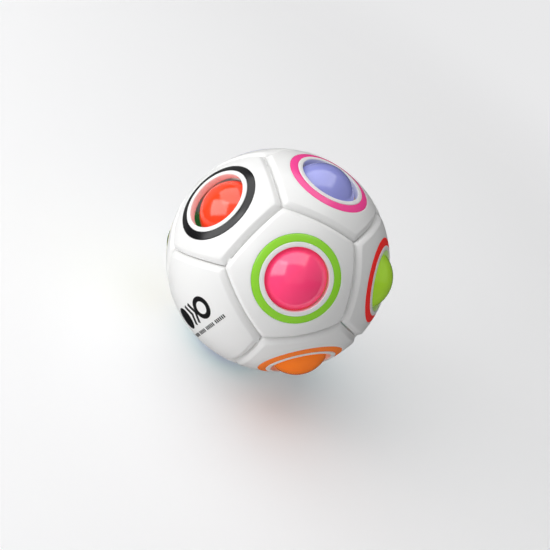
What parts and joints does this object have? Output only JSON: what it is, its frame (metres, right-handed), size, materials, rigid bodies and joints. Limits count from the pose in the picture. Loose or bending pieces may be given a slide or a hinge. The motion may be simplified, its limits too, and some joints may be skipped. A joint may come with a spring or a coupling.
{
  "type": "sliding ball puzzle",
  "caption": "Round hand-held puzzle: a white ball of pentagon panels with coloured rings round its windows, coloured balls that push inward, and one empty window.",
  "frame": {"origin": "centre of the ball-shaped shell", "axes": "+Z leaves through the middle of the top window (pink ring); -Y points to the side of the lime ring's window"},
  "size_m": [0.0696, 0.07, 0.074],
  "materials": {
    "shell_white": "satin moulded ABS",
    "ring_pink": "gloss moulded ABS",
    "ring_lime": "gloss moulded ABS",
    "ring_red": "gloss moulded ABS",
    "ring_blue": "gloss moulded ABS",
    "ring_purple": "gloss moulded ABS",
    "ring_black": "gloss moulded ABS",
    "ring_orange": "gloss moulded ABS",
    "ring_sky": "gloss moulded ABS",
    "ring_green": "gloss moulded ABS",
    "ring_yellow": "gloss moulded ABS",
    "ring_turquoise": "gloss moulded ABS",
    "ball_purple": "satin gloss moulded ABS",
    "ball_pink": "satin gloss moulded ABS",
    "ball_lime": "satin gloss moulded ABS",
    "ball_yellow": "satin gloss moulded ABS",
    "ball_red": "satin gloss moulded ABS",
    "ball_orange": "satin gloss moulded ABS",
    "ball_turquoise": "satin gloss moulded ABS",
    "ball_sky": "satin gloss moulded ABS",
    "ball_green": "satin gloss moulded ABS",
    "ball_blue": "satin gloss moulded ABS",
    "core_natural": "plain moulded ABS"
  },
  "bodies": {
    "shell": {"shell_upper": "shell_white", "shell_lower": "shell_white", "ring_pink": "ring_pink", "ring_lime": "ring_lime", "ring_red": "ring_red", "ring_blue": "ring_blue", "ring_purple": "ring_purple", "ring_black": "ring_black", "ring_orange": "ring_orange", "ring_sky": "ring_sky", "ring_green": "ring_green", "ring_yellow": "ring_yellow", "ring_turquoise": "ring_turquoise"},
    "ball_purple": {"ball_purple": "ball_purple"},
    "ball_pink": {"ball_pink": "ball_pink"},
    "ball_lime": {"ball_lime": "ball_lime"},
    "ball_yellow": {"ball_yellow": "ball_yellow"},
    "ball_red": {"ball_red": "ball_red"},
    "ball_orange": {"ball_orange": "ball_orange"},
    "ball_turquoise": {"ball_turquoise": "ball_turquoise"},
    "ball_sky": {"ball_sky": "ball_sky"},
    "ball_green": {"ball_green": "ball_green"},
    "ball_blue": {"ball_blue": "ball_blue"},
    "core": {"core_bowl_collared": "core_natural", "core_bowl_plain": "core_natural"}
  },
  "joints": [
    {"name": "red_ball_travel", "type": "hinge", "parent": "shell", "child": "ball_red", "pos_m": [-0.03167, 0.01029, 0.02058], "axis": [0.5, -0.1625, 0.8507], "range_deg": [-6.5, 73.5]},
    {"name": "core_shift", "type": "hinge", "parent": "shell", "child": "core", "pos_m": [0.0017, -0.00055, -0.0011], "axis": [0.5, -0.1625, 0.8507], "range_deg": [-330.75, 29.25]},
    {"name": "purple_ball_press", "type": "slide", "parent": "shell", "child": "ball_purple", "axis": [0, 0, -1], "range_m": [0, 0.0039]},
    {"name": "pink_ball_press", "type": "slide", "parent": "shell", "child": "ball_pink", "axis": [0, 0.8944, -0.4472], "range_m": [0, 0.0039]},
    {"name": "lime_ball_press", "type": "slide", "parent": "shell", "child": "ball_lime", "axis": [-0.8507, 0.2764, -0.4472], "range_m": [0, 0.0039]},
    {"name": "yellow_ball_press", "type": "slide", "parent": "shell", "child": "ball_yellow", "axis": [-0.5257, -0.7236, -0.4472], "range_m": [0, 0.0039]},
    {"name": "orange_ball_press", "type": "slide", "parent": "shell", "child": "ball_orange", "axis": [-0.5257, 0.7236, 0.4472], "range_m": [0, 0.0039]},
    {"name": "turquoise_ball_press", "type": "slide", "parent": "shell", "child": "ball_turquoise", "axis": [-0.8507, -0.2764, 0.4472], "range_m": [0, 0.0039]},
    {"name": "sky_ball_press", "type": "slide", "parent": "shell", "child": "ball_sky", "axis": [0, -0.8944, 0.4472], "range_m": [0, 0.0039]},
    {"name": "green_ball_press", "type": "slide", "parent": "shell", "child": "ball_green", "axis": [0.8507, -0.2764, 0.4472], "range_m": [0, 0.0039]},
    {"name": "blue_ball_press", "type": "slide", "parent": "shell", "child": "ball_blue", "axis": [0, 0, 1], "range_m": [0, 0.0039]}
  ],
  "couplings": [
    {"joint": "core_shift", "follows": "red_ball_travel", "ratio": -4.5}
  ]
}
